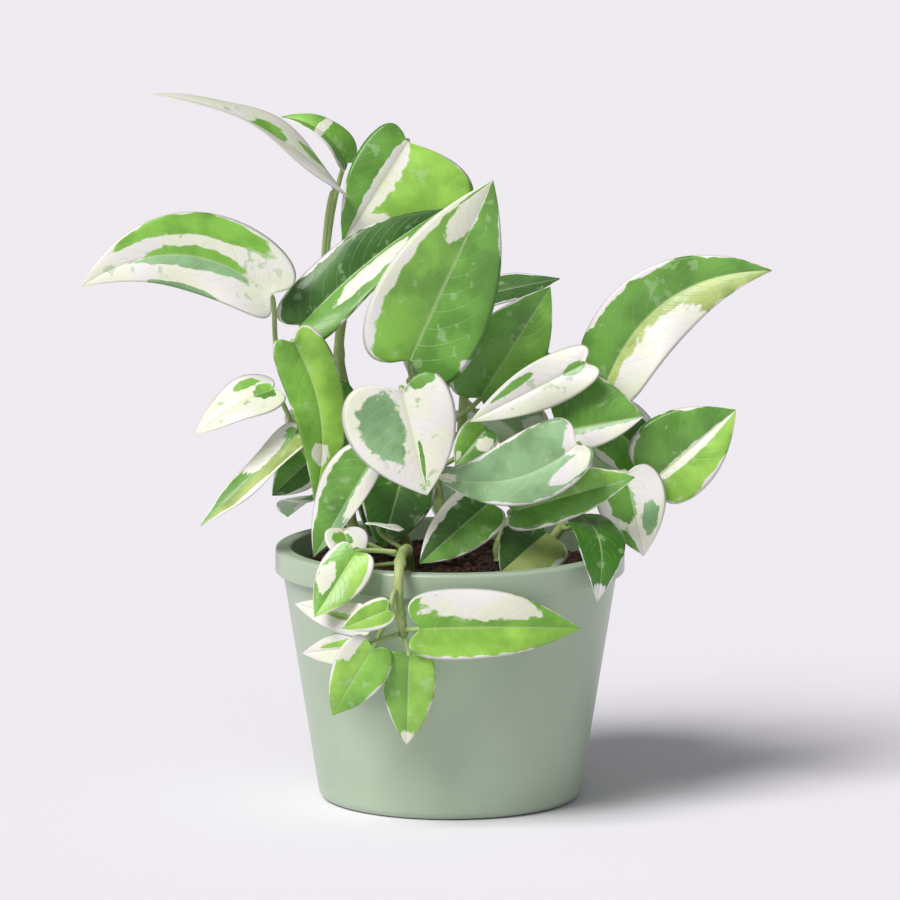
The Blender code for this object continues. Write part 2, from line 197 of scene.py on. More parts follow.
def arc(centre, radius, start, end, count):
    """Points on an arc in the profile's plane, angles in degrees from +X."""
    angles = [math.radians(start + (end - start) * i / count) for i in range(count + 1)]
    return [(centre[0] + radius * math.cos(a), centre[1] + radius * math.sin(a)) for a in angles]


def inner_radius(height):
    """The pot's inner wall follows its taper, a wall's thickness inside."""
    share = height / (POT_HEIGHT - RIM_BAND)
    return BODY_BASE_RADIUS - WALL + (BODY_TOP_RADIUS - BODY_BASE_RADIUS) * min(share, 1.0)


def catmull_rom(points, steps):
    """A smooth route through the points, with steps stretches between each pair."""
    knots = [Vector(p) for p in points]
    knots = [2 * knots[0] - knots[1], *knots, 2 * knots[-1] - knots[-2]]
    route = []
    for a, b, c, d in zip(knots, knots[1:], knots[2:], knots[3:]):
        for i in range(steps):
            t = i / steps
            route.append(
                0.5
                * (
                    2 * b
                    + (c - a) * t
                    + (2 * a - 5 * b + 4 * c - d) * t**2
                    + (3 * b - a - 3 * c + d) * t**3
                )
            )
    return [*route, knots[-2]]


def point_along(route, share):
    """The point and the direction at this share of a route's length."""
    lengths = [(b - a).length for a, b in zip(route, route[1:])]
    left = share * sum(lengths)
    for a, b, length in zip(route, route[1:], lengths):
        if left <= length:
            return a.lerp(b, left / length), (b - a).normalized()
        left -= length
    return route[-1].copy(), (route[-1] - route[-2]).normalized()


def blade_frame(leaf, u):
    """The midrib's point, direction, right side and upper side at u, from 0 at the stalk to 1 at the tip."""
    base, tip = Vector(leaf.base), Vector(leaf.tip)
    along = (tip - base).normalized()
    up = Vector(leaf.faces)
    up = (up - up.dot(along) * along).normalized()
    side = along.cross(up)
    bulge = side * leaf.bend + up * leaf.arch
    point = base.lerp(tip, u) + bulge * 4 * u * (1 - u)
    along = (tip - base + bulge * 4 * (1 - 2 * u)).normalized()
    up = (up - up.dot(along) * along).normalized()
    return point, along, along.cross(up), up


def width_at(u):
    """Half the blade's width along it, as a share of its widest.

    It is full and round near the stalk, and pointed at the tip.
    """
    return (u**WIDENING * (1 - u) ** NARROWING) / WIDEST if 0 < u < 1 else 0.0


def stalk_rings(leaf, route, steps, sides):
    """Round rings along the stalk, from its vine to the blade.

    They are turned so that they meet the blade without twist.
    """
    start, vine_way = point_along(route, leaf.at)
    base, along, side, up = blade_frame(leaf, 0)
    away = base - start
    away = (away - away.dot(vine_way) * vine_way).normalized()
    start = start + away * (VINE_RADIUS + GAP)
    reach = (base - start).length
    handle = min(10.0, 0.35 * reach)
    sway = Vector(leaf.sway)
    first = start + away * handle + sway
    second = base - along * handle * 0.6 - up * handle * 0.8 + sway

    def bezier(t):
        s = 1 - t
        return start * s**3 + first * 3 * s * s * t + second * 3 * s * t * t + base * t**3

    def way(t):
        s = 1 - t
        return ((first - start) * s * s + (second - first) * 2 * s * t + (base - second) * t * t).normalized()

    rings = []
    previous = along
    for t in [(1 - k / steps) for k in range(1, steps + 1)]:
        turn = previous.rotation_difference(way(t))
        side, up = turn @ side, turn @ up
        previous = way(t)
        angles = [math.pi - math.tau * i / sides for i in range(sides)]
        rings.append((t, [
            bezier(t) + side * math.cos(a) * STALK_RADIUS + up * math.sin(a) * STALK_RADIUS for a in angles
        ]))
    return rings[::-1]


# How finely the pieces are made. Stalks are seated on a coarser route than the fine stem follows
RINGS = 44
ACROSS = 24
STALK_STEPS = 14
SEAT_STEPS = 3
VINE_STEPS = 14
VINE_SIDES = 20
POT_TURNS = 160

# Blades: the thickness in millimetres, and the side veins in shares of the blade
BLADE_THICKNESS = 0.5
VEIN_RATE = 34.0
VEIN_CURVE = 1.35
VEIN_SLANT = 0.32

# The swellings where leaves join a stem
NODE_SPACING = 22
NODE_SWELL = 0.28

# Rounded edges of the pot, and the gap round the soil, in millimetres
LIP_INNER_ROUND = 1.2
LIP_OUTER_ROUND = 1.5
BAND_ROUND = 0.6
SOIL_GAP = 0.6

# Camera and floor
CAMERA_ELEVATION = 9
CAMERA_DISTANCE = 3.0
CAMERA_AIM_HEIGHT = 0.1405
CAMERA_LENS = 300
FLOOR_SIZE = 24

# Colours, linear
CREAM = (0.80, 0.83, 0.66)
CREAM_COOL = (0.82, 0.80, 0.78)
MID = (0.15, 0.36, 0.055)
FRESH = (0.23, 0.50, 0.07)
# A yellow-green. On the crown leaf's wide half and the right outer leaf's right half it is painted backlight,
# the glow of light shining through the leaf from behind
LIME_AND_PAINTED_BACKLIGHT = (0.33, 0.62, 0.09)
GREY = (0.27, 0.46, 0.24)
# Painted shade: a leaf green darkened for the shade that falls deep in the clump, and a still darker one for
# the deepest shade
PAINTED_SHADE_GREEN = (0.062, 0.165, 0.032)
PAINTED_DEEP_SHADE_GREEN = (0.05, 0.19, 0.012)
OLIVE = (0.40, 0.50, 0.16)
SHADE = (0.72, 0.76, 0.68)
SHINE = (1.14, 1.12, 1.1)
FLECK = (0.50, 0.66, 0.40)
VEIN = (0.55, 0.68, 0.34)
UNDERSIDE = (0.50, 0.62, 0.42)
STALK = ((0.30, 0.44, 0.13), (0.46, 0.56, 0.24))
STEM = ((0.25, 0.36, 0.10), (0.42, 0.50, 0.20))
GLAZE = ((0.385, 0.485, 0.355), (0.43, 0.53, 0.395))
EARTH = ((0.018, 0.007, 0.005), (0.075, 0.030, 0.022))
BARK = ((0.035, 0.014, 0.008), (0.14, 0.06, 0.035))
PALE_FLOOR = (0.86, 0.838, 0.895, 1)
STUDIO = (0.98, 0.97, 1.0, 1)
KEY_LIGHT = (1.0, 0.99, 0.965)


class Style(NamedTuple):
    """A leaf's colours: the green of its left and right half, and the width of its pale margin. On the folded
    right outer leaf the two greens are painted light and shade, a shaded half and a lit half.

    A patch is (across, along, half width, half length), in shares of the blade.
    A pale leaf is cream with green patches, and any other is green with cream patches.
    """

    left: tuple
    right: tuple
    margin: float = 0.1
    patches: tuple = ()
    pale: bool = False


# Leaves deep in the clump, behind, under or between others, are given the painted shade greens, darkened for
# the shade that falls there
STYLES = {
    "leaf_far_left": Style(
        GREY, FRESH, 0, ((0.72, 0.48, 0.26, 0.34), (-0.05, 0.42, 0.3, 0.3), (-0.95, 0.5, 0.12, 0.22)), True
    ),
    "leaf_top_left": Style(GREY, FRESH, 0, ((0, 0.42, 0.5, 0.1), (0.5, 0.2, 0.2, 0.08)), True),
    "leaf_top_small": Style(MID, FRESH, 0.1, ((0, 0.5, 1.2, 0.06),)),
    # The crown leaf's wide half is painted yellow-green as painted backlight, for light shining through it
    # from behind
    "leaf_crown": Style(LIME_AND_PAINTED_BACKLIGHT, MID, 0.04, ((0.05, 0.45, 0.2, 0.7), (-0.5, 0.8, 0.6, 0.2))),
    "leaf_left_upper": Style(PAINTED_SHADE_GREEN, MID, 0.04, ((0.4, 0.5, 0.3, 0.26),)),
    "leaf_centre": Style(FRESH, MID, 0.02, ((-0.3, 0.86, 0.4, 0.22), (-1.0, 0.5, 0.24, 0.55))),
    "leaf_right_of_centre": Style(MID, FRESH, 0.04),
    "leaf_dark_behind": Style(PAINTED_SHADE_GREEN, PAINTED_SHADE_GREEN, 0.08),
    "leaf_upper_right": Style(MID, OLIVE, 0.05, ((0.75, 0.3, 0.55, 0.36),)),
    "leaf_right_centre": Style(MID, GREY, 0.03, ((0.8, 0.45, 0.6, 0.8),)),
    "leaf_pale_centre": Style(
        GREY, GREY, 0.06, ((0, 1, 0.8, 0.14), (0.1, 0, 0.9, 0.1), (-0.6, 0.15, 0.3, 0.16))
    ),
    "leaf_lower_right": Style(FRESH, MID, 0.08),
    "leaf_round_front": Style(
        MID, GREY, 0, ((0.45, 0.36, 0.36, 0.3), (-0.12, 0.7, 0.07, 0.2), (-0.7, 0.06, 0.4, 0.07)), True
    ),
    "leaf_left_vertical": Style(LIME_AND_PAINTED_BACKLIGHT, FRESH, 0.02, ((0.1, 0.72, 0.5, 0.07), (-0.7, 0.9, 0.4, 0.1))),
    "leaf_below_left": Style(GREY, MID, 0.14, ((-0.6, 0.3, 0.5, 0.3),)),
    "leaf_yellow_left": Style(OLIVE, MID, 0.22, ((0.5, 0.3, 0.5, 0.2),)),
    "leaf_dark_under": Style(PAINTED_SHADE_GREEN, MID, 0.16),
    "leaf_white_left": Style(MID, FRESH, 0, ((0, 0.12, 0.5, 0.12), (0.6, 0.3, 0.2, 0.14)), True),
    "leaf_twisted": Style(MID, FRESH, 0, ((0.2, 0.3, 0.5, 0.2), (-0.4, 0.7, 0.3, 0.15)), True),
    "leaf_curved_cream": Style(OLIVE, MID, 0, ((0.1, 0.4, 0.2, 0.3),), True),
    "leaf_dark_gap": Style(PAINTED_SHADE_GREEN, PAINTED_DEEP_SHADE_GREEN, 0.03),
    "leaf_front_low": Style(MID, PAINTED_SHADE_GREEN, 0.08, ((0.95, 0.5, 0.3, 0.5),)),
    "leaf_brown_green": Style(OLIVE, PAINTED_SHADE_GREEN, 0.1),
    "leaf_over_rim_right": Style(PAINTED_DEEP_SHADE_GREEN, PAINTED_DEEP_SHADE_GREEN, 0.04, ((0, 1, 1.2, 0.14),)),
    "leaf_white_right": Style(
        GREY, MID, 0, ((0.3, 0.35, 0.4, 0.25), (0.7, 0.8, 0.3, 0.16), (-0.5, 0.6, 0.3, 0.2)), True
    ),
    # Painted light and shade on a folded leaf: the left half in shade is mid green, the right half lit
    # through from behind is yellow-green
    "leaf_right_outer": Style(MID, LIME_AND_PAINTED_BACKLIGHT, 0.06, ((0.08, 0.5, 0.14, 0.9),)),
    "leaf_pot_front": Style(FRESH, LIME_AND_PAINTED_BACKLIGHT, 0.06, ((-0.62, 0.42, 0.45, 0.34),)),
    "leaf_hang_left": Style(FRESH, LIME_AND_PAINTED_BACKLIGHT, 0.05, ((0.9, 0.2, 0.4, 0.2),)),
    "leaf_hang_low": Style(LIME_AND_PAINTED_BACKLIGHT, FRESH, 0.03, ((0, 1, 1.2, 0.16),)),
    "leaf_cream_upper": Style(OLIVE, LIME_AND_PAINTED_BACKLIGHT, 0, ((0, 0.3, 0.2, 0.3),), True),
    "leaf_cream_lower": Style(OLIVE, LIME_AND_PAINTED_BACKLIGHT, 0, ((0.3, 0.4, 0.2, 0.3),), True),
    "leaf_small_yellow": Style(LIME_AND_PAINTED_BACKLIGHT, LIME_AND_PAINTED_BACKLIGHT, 0.22),
    "leaf_over_rim_left": Style(LIME_AND_PAINTED_BACKLIGHT, FRESH, 0.14, ((0.5, 0.5, 0.4, 0.2),)),
    "leaf_deep_left": Style(PAINTED_SHADE_GREEN, PAINTED_DEEP_SHADE_GREEN, 0.12),
    "leaf_inner_left": Style(MID, GREY, 0.1, ((0.4, 0.3, 0.5, 0.2),)),
    "leaf_inner_right": Style(PAINTED_SHADE_GREEN, MID, 0.14),
    "leaf_white_band": Style(GREY, MID, 0, ((0, 0.1, 0.3, 0.1), (0.6, 0.6, 0.2, 0.2)), True),
}
# Leaves without a style of their own take these in turn
PLAIN = (
    Style(FRESH, MID, 0.12, ((0.6, 0.6, 0.4, 0.2),)),
    Style(MID, FRESH, 0.1, ((-0.5, 0.3, 0.4, 0.16), (0.4, 0.8, 0.3, 0.1))),
    Style(GREY, MID, 0.16, ((0, 0.5, 0.25, 0.5),)),
)


def node(tree, kind, values=None, **settings):
    """Adds a node. values gives its inputs by name or number, each a value or another node's output."""
    made = tree.nodes.new(kind)
    for name, value in settings.items():
        setattr(made, name, value)
    for key, value in (values or {}).items():
        if isinstance(value, bpy.types.NodeSocket):
            tree.links.new(value, made.inputs[key])
        else:
            made.inputs[key].default_value = value
    return made


def math_node(tree, operation, *values, clamp=False):
    """The result of one step of arithmetic on values or other nodes' outputs."""
    inputs = dict(enumerate(values))
    return node(tree, "ShaderNodeMath", inputs, operation=operation, use_clamp=clamp).outputs[0]


def smooth(tree, value, low, high):
    """A soft step of the value, from 0 at low to 1 at high."""
    values = {"Value": value, "From Min": low, "From Max": high}
    return node(tree, "ShaderNodeMapRange", values, interpolation_type="SMOOTHSTEP").outputs[0]


def mix(tree, factor, first, second, blend="MIX"):
    """Two colours blended by a factor, each a value or another node's output."""
    made = node(tree, "ShaderNodeMix", data_type="RGBA", blend_type=blend)
    for key, value in ((0, factor), (6, first), (7, second)):
        if isinstance(value, bpy.types.NodeSocket):
            tree.links.new(value, made.inputs[key])
        else:
            made.inputs[key].default_value = (*value, 1) if isinstance(value, tuple) else value
    return made.outputs[2]


def new_group(name, inputs, outputs):
    """A shader node group with float or vector sockets, and its input and output nodes."""
    tree = bpy.data.node_groups.new(name, "ShaderNodeTree")
    for label, kind, value in inputs:
        socket = tree.interface.new_socket(label, in_out="INPUT", socket_type=f"NodeSocket{kind}")
        if kind == "Float":
            socket.default_value = value
    for label, kind in outputs:
        tree.interface.new_socket(label, in_out="OUTPUT", socket_type=f"NodeSocket{kind}")
    return tree, tree.nodes.new("NodeGroupInput"), tree.nodes.new("NodeGroupOutput")


def patch_group():
    """An uneven oval patch on the blade, from the leaf's own (across, along) coordinates."""
    inputs = [("Leaf Place", "Vector", None)]
    inputs += [(label, "Float", 0.5) for label in ("Across", "Along", "Half Width", "Half Length", "Ragged")]
    tree, given, result = new_group("leaf patch", inputs, [("Mask", "Float")])
    place = given.outputs["Leaf Place"]
    streaks = node(tree, "ShaderNodeMapping", {"Vector": place, "Scale": (3.0, 7.0, 3.0)})
    rough = node(tree, "ShaderNodeTexNoise", {"Vector": streaks.outputs[0], "Scale": 1.6, "Detail": 5.0})
    part = node(tree, "ShaderNodeSeparateXYZ", {0: place})
    squares = []
    for axis, middle, half in ((0, "Across", "Half Width"), (1, "Along", "Half Length")):
        offset = math_node(tree, "SUBTRACT", part.outputs[axis], given.outputs[middle])
        share = math_node(tree, "DIVIDE", offset, given.outputs[half])
        squares.append(math_node(tree, "POWER", share, 2.0))
    reach = math_node(tree, "SQRT", math_node(tree, "ADD", *squares))
    centred = math_node(tree, "SUBTRACT", rough.outputs[0], 0.5)
    shift = math_node(tree, "MULTIPLY", centred, given.outputs["Ragged"])
    mask = smooth(tree, math_node(tree, "ADD", reach, shift), 1.04, 0.9)
    tree.links.new(mask, result.inputs[0])
    return tree


def vein_group():
    """The midrib and the side veins that run forward from it: a light line mask and a height."""
    inputs = [("Leaf Place", "Vector", None)]
    tree, given, result = new_group("leaf veins", inputs, [("Line", "Float"), ("Height", "Float")])
    part = node(tree, "ShaderNodeSeparateXYZ", {0: given.outputs[0]})
    aside = math_node(tree, "ABSOLUTE", part.outputs[0])
    midrib = smooth(tree, aside, 0.05, 0.012)
    slant = math_node(tree, "MULTIPLY", math_node(tree, "POWER", aside, VEIN_CURVE), VEIN_SLANT)
    forward = math_node(tree, "SUBTRACT", part.outputs[1], slant)
    wave, fine = [
        math_node(tree, "ABSOLUTE", math_node(tree, "SINE", math_node(tree, "MULTIPLY", forward, rate)))
        for rate in (VEIN_RATE, 4 * VEIN_RATE)
    ]
    side = math_node(tree, "MULTIPLY", smooth(tree, wave, 0.16, 0.0), smooth(tree, aside, 0.98, 0.5))
    line = math_node(tree, "ADD", midrib, math_node(tree, "MULTIPLY", side, 0.45), clamp=True)
    tree.links.new(line, result.inputs[0])
    height = math_node(tree, "SUBTRACT", math_node(tree, "MULTIPLY", fine, 0.12), line)
    tree.links.new(height, result.inputs[1])
    return tree


def grain_group():
    """Mottling and fine grain in object space: two even values round one half."""
    inputs = [("Coarse", "Float", 60.0), ("Fine", "Float", 900.0)]
    tree, given, result = new_group("surface grain", inputs, [("Mottle", "Float"), ("Grain", "Float")])
    place = node(tree, "ShaderNodeTexCoord").outputs["Object"]
    for key, label in enumerate(("Coarse", "Fine")):
        values = {"Vector": place, "Scale": given.outputs[label], "Detail": 4.0}
        made = node(tree, "ShaderNodeTexNoise", values)
        tree.links.new(made.outputs[0], result.inputs[key])
    return tree


def shader_material(name, roughness=0.5):
    """A new material, its node tree and its shader."""
    made = bpy.data.materials.new(name)
    made.use_nodes = True
    shader = made.node_tree.nodes["Principled BSDF"]
    shader.inputs["Roughness"].default_value = roughness
    return made, made.node_tree, shader


def use_group(tree, group, values=None):
    """Adds a node that holds the group."""
    return node(tree, "ShaderNodeGroup", values, node_tree=group)


def leaf_material(name, style, groups):
    """The leaf's greens and creams by its style, with veins, flecks, a stalk colour and a paler underside."""
    made, tree, shader = shader_material(name)
    place = node(tree, "ShaderNodeUVMap", uv_map="leaf").outputs[0]
    part = node(tree, "ShaderNodeSeparateXYZ", {0: place})
    grain = use_group(tree, groups["grain"], {"Coarse": 70.0, "Fine": 700.0})
    veins = use_group(tree, groups["veins"], {"Leaf Place": place})
    # Each half takes its own green; on a folded leaf this paints one half in shade and the other lit
    right = smooth(tree, part.outputs[0], -0.03, 0.03)
    green = mix(tree, right, style.left, style.right)
    shade = mix(tree, smooth(tree, grain.outputs["Mottle"], 0.35, 0.65), SHADE, SHINE)
    green = mix(tree, 1.0, green, shade, "MULTIPLY")
    cream = mix(tree, smooth(tree, grain.outputs["Mottle"], 0.4, 0.62), CREAM, CREAM_COOL)
    patches = None
    for across, along, wide, long in style.patches:
        values = {
            "Leaf Place": place,
            "Across": across,
            "Along": along,
            "Half Width": wide,
            "Half Length": long,
            "Ragged": 0.9,
        }
        mask = use_group(tree, groups["patch"], values).outputs[0]
        patches = mask if patches is None else math_node(tree, "MAXIMUM", patches, mask)
    aside = math_node(tree, "ABSOLUTE", part.outputs[0])
    wander = math_node(tree, "MULTIPLY", math_node(tree, "SUBTRACT", grain.outputs["Mottle"], 0.5), 0.7)
    edge = smooth(tree, math_node(tree, "ADD", aside, wander), 0.97 - style.margin, 1.0 - style.margin)
    if style.pale:
        cream_mask = math_node(tree, "SUBTRACT", 1.0, patches)
    elif patches is None:
        cream_mask = edge
    else:
        cream_mask = math_node(tree, "MAXIMUM", patches, edge)
    flecks = use_group(tree, groups["grain"], {"Coarse": 190.0, "Fine": 420.0})
    spots = smooth(tree, flecks.outputs["Mottle"], 0.62, 0.66)
    if style.pale:
        faint = mix(tree, math_node(tree, "MULTIPLY", spots, 0.5), cream, style.left)
        cream = mix(tree, smooth(tree, aside, 0.9, 0.4), cream, faint)
    else:
        green = mix(tree, math_node(tree, "MULTIPLY", spots, 0.3), green, FLECK)
    colour = mix(tree, cream_mask, green, cream)
    lined = mix(tree, math_node(tree, "MULTIPLY", veins.outputs["Line"], 0.4), colour, VEIN)
    stalk = smooth(tree, part.outputs[1], 0.0, -0.04)
    stalk_colour = mix(tree, grain.outputs["Mottle"], *STALK)
    lined = mix(tree, stalk, lined, stalk_colour)
    under = node(tree, "ShaderNodeAttribute", attribute_name="under").outputs["Fac"]
    lined = mix(tree, math_node(tree, "MULTIPLY", under, 0.3), lined, UNDERSIDE)
    tree.links.new(lined, shader.inputs["Base Color"])
    tree.links.new(smooth(tree, grain.outputs["Mottle"], -0.6, 2.0), shader.inputs["Roughness"])
    fine = math_node(tree, "MULTIPLY", grain.outputs["Grain"], 0.3)
    relief = math_node(tree, "ADD", veins.outputs["Height"], fine)
    bump = node(tree, "ShaderNodeBump", {"Height": relief, "Strength": 0.4, "Distance": 0.0004})
    tree.links.new(bump.outputs[0], shader.inputs["Normal"])
    shader.inputs["Subsurface Weight"].default_value = 0.12
    shader.inputs["Subsurface Radius"].default_value = (0.4, 1.0, 0.2)
    shader.inputs["Subsurface Scale"].default_value = 0.002
    shader.inputs["Coat Weight"].default_value = 0.12
    return made


def plain_material(name, groups, colours, roughness, coarse, fine, bump_mm, coat=0.0):
    """A surface mottled between two colours, with a fine grain."""
    made, tree, shader = shader_material(name, roughness)
    grain = use_group(tree, groups["grain"], {"Coarse": coarse, "Fine": fine})
    colour = mix(tree, smooth(tree, grain.outputs["Mottle"], 0.3, 0.7), *colours)
    tree.links.new(colour, shader.inputs["Base Color"])
    half_grain = math_node(tree, "MULTIPLY", grain.outputs["Grain"], 0.5)
    relief = math_node(tree, "ADD", grain.outputs["Mottle"], half_grain)
    bump = node(tree, "ShaderNodeBump", {"Height": relief, "Strength": 0.6, "Distance": bump_mm * MM})
    tree.links.new(bump.outputs[0], shader.inputs["Normal"])
    shader.inputs["Coat Weight"].default_value = coat
    shader.inputs["Coat Roughness"].default_value = 0.25
    return made


def add_piece(name, mesh, finish):
    """Puts a smooth mesh in the scene, with its material."""
    piece = bpy.data.objects.new(name, mesh)
    mesh.materials.append(finish)
    bpy.context.scene.collection.objects.link(piece)
    mesh.shade_smooth()
    return piece


def loft(name, rings, places=None, under=None):
    """A closed solid through rings of points in millimetres.

    places gives each point's (across, along) on its leaf, kept as a UV map. under is 1 on the underside.
    """
    mesh = bpy.data.meshes.new(name)
    count = len(rings[0])
    points = [p * MM for ring in rings for p in ring]
    faces = [tuple(range(count))[::-1], tuple(range(len(points) - count, len(points)))]
    for row in range(len(rings) - 1):
        for i in range(count):
            j = (i + 1) % count
            a = row * count
            faces.append((a + i, a + j, a + count + j, a + count + i))
    mesh.from_pydata(points, [], faces)
    if places:
        layer = mesh.uv_layers.new(name="leaf")
        flat = [c for loop in mesh.loops for c in places[loop.vertex_index]]
        layer.data.foreach_set("uv", flat)
        mesh.attributes.new("under", "FLOAT", "POINT").data.foreach_set("value", under)
    shape = bmesh.new()
    shape.from_mesh(mesh)
    bmesh.ops.recalc_face_normals(shape, faces=shape.faces)
    shape.to_mesh(mesh)
    shape.free()
    return mesh


def fine_blade(leaf, u, phase):
    """One ring of the blade: across its upper side from left to right, then back across its lower side."""
    point, along, side, up = blade_frame(leaf, u)
    length = (Vector(leaf.tip) - Vector(leaf.base)).length
    shape = width_at(u)
    smallest = STALK_RADIUS * (1 - u) + 0.15 * u
    back = leaf.heart * length * shape * (1 - u) ** 3
    thick = BLADE_THICKNESS / 2 * (1 - 0.4 * u)
    stalk = max(0.0, 1 - u / 0.05)

    def surface(v):
        half = max((leaf.halves[0] if v < 0 else leaf.halves[1]) * shape, smallest)
        angle = math.radians(leaf.fold * (1.25 - 0.5 * abs(v)))
        ripple = math.sin(9 * u + 2 * phase + (2 if v > 0 else 0))
        wave = ripple * 0.045 * length * v * v * min(shape, 1) * (1 - u)
        rib = 0.25 * max(0.0, 1 - abs(v) / 0.06) * (1 - u)
        forward = u - VEIN_SLANT * abs(v) ** VEIN_CURVE
        quilt = 0.22 * abs(math.sin(VEIN_RATE * forward)) * min(1, 4 * abs(v)) * (1 - abs(v)) * shape
        droop = -0.06 * half * abs(v) ** 3
        reach = side * math.copysign(half * abs(v) * math.cos(angle), v)
        lift = half * abs(v) * math.sin(angle) + wave + droop + quilt - rib
        return point + reach + up * lift - along * back * abs(v)

    steps = [2 * i / ACROSS - 1 for i in range(ACROSS + 1)]
    rise = thick + (STALK_RADIUS - thick) * stalk
    rounds = [math.sqrt(max(0.0, 1 - v * v)) for v in steps]
    offsets = [up * rise * (r if stalk else min(1.0, 3 * r)) for r in rounds]
    upper = [surface(v) + offset for v, offset in zip(steps, offsets)]
    lower = [surface(v) - offset for v, offset in zip(steps, offsets)]
    ring = upper + lower[-2:0:-1]
    places = [(v, u) for v in steps + steps[-2:0:-1]]
    under = [0.0] * len(steps) + [1.0] * (len(steps) - 2)
    return ring, places, under


def make_leaf(leaf, routes, number, groups):
    """One leaf, stalk and blade together. Its number sets its ripple, and its style if it has none."""
    rings, places, under = [], [], []
    count = 2 * ACROSS
    for t, ring in stalk_rings(leaf, routes[leaf.vine], STALK_STEPS, count):
        rings.append(ring)
        places += [(math.cos(math.pi * (1 - i / ACROSS)), (t - 1) * 0.5 - 0.05) for i in range(count)]
        under += [0.0] * count
    # The rings crowd towards the stalk, where the blade widens fast.
    for i in range(RINGS + 1):
        ring, spots, low = fine_blade(leaf, (i / RINGS) ** 1.25, number)
        rings.append(ring)
        places += spots
        under += low
    style = STYLES.get(leaf.name, PLAIN[number % len(PLAIN)])
    mesh = loft(leaf.name, rings, places, under)
    piece = add_piece(leaf.name + "_fine", mesh, leaf_material(leaf.name, style, groups))
    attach(piece, "root")
    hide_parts(leaf.name)


def make_vine(vine, route, finish):
    """A stem with a swelling at each node along it."""
    rings = []
    travelled = 0.0
    side = Vector((1, 0, 0))
    for i, point in enumerate(route):
        way = (route[min(i + 1, len(route) - 1)] - route[max(i - 1, 0)]).normalized()
        travelled += (point - route[i - 1]).length if i else 0.0
        side = (side - side.dot(way) * way).normalized()
        up = way.cross(side)
        swell = 1 + NODE_SWELL * max(0.0, math.cos(travelled * math.tau / NODE_SPACING)) ** 12
        radius = vine.radius * swell * (0.45 if i == len(route) - 1 else 1.0)
        angles = [math.tau * k / VINE_SIDES for k in range(VINE_SIDES)]
        rings.append([point + (side * math.cos(a) + up * math.sin(a)) * radius for a in angles])
    piece = add_piece(vine.name + "_fine", loft(vine.name, rings), finish)
    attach(piece, "root")
    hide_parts(vine.name)


def lathe(name, profile):
    """Turns a profile of (radius, height) in millimetres round Z."""
    mesh = bpy.data.meshes.new(name)
    shape = bmesh.new()
    line = [shape.verts.new((radius * MM, 0, height * MM)) for radius, height in profile]
    edges = [shape.edges.new(pair) for pair in zip(line, line[1:])]
    bmesh.ops.spin(shape, geom=line + edges, axis=(0, 0, 1), cent=(0, 0, 0), angle=math.tau, steps=POT_TURNS)
    bmesh.ops.remove_doubles(shape, verts=shape.verts, dist=1e-6)
    bmesh.ops.recalc_face_normals(shape, faces=shape.faces)
    shape.to_mesh(mesh)
    shape.free()
    return mesh


def make_pot(groups):
    """The pot, from the middle of its floor up the inside, over the lip and down the outside."""
    band = POT_HEIGHT - RIM_BAND
    profile = [(0, FLOOR), (inner_radius(FLOOR), FLOOR), (inner_radius(band), band)]
    profile += arc(
        (RIM_INNER_RADIUS + LIP_INNER_ROUND, POT_HEIGHT - LIP_INNER_ROUND), LIP_INNER_ROUND, 180, 90, 6
    )
    profile += arc((RIM_RADIUS - LIP_OUTER_ROUND, POT_HEIGHT - LIP_OUTER_ROUND), LIP_OUTER_ROUND, 90, 0, 8)
    profile += arc((RIM_RADIUS - BAND_ROUND, band + BAND_ROUND), BAND_ROUND, 0, -90, 5)
    profile += [
        (BODY_TOP_RADIUS + BAND_ROUND, band),
        (BODY_TOP_RADIUS + BAND_ROUND / 4, band - BAND_ROUND / 4),
        (BODY_TOP_RADIUS, band - BAND_ROUND),
    ]
    taper = BODY_BASE_RADIUS - BODY_TOP_RADIUS
    drop = band - BASE_CORNER
    profile += [(BODY_TOP_RADIUS + taper * k / 12, band - drop * k / 12) for k in range(1, 12)]
    profile += arc((BODY_BASE_RADIUS - BASE_CORNER, BASE_CORNER), BASE_CORNER, 0, -90, 8)
    profile += [(0, 0)]
    glaze = plain_material(
        "satin sage glaze", groups, GLAZE, roughness=0.34, coarse=25.0, fine=1400.0, bump_mm=0.03, coat=0.2
    )
    piece = add_piece("pot_fine", lathe("pot_fine", profile), glaze)
    piece.data.set_sharp_from_angle(angle=math.radians(50))
    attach(piece, "root")
    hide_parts("pot")


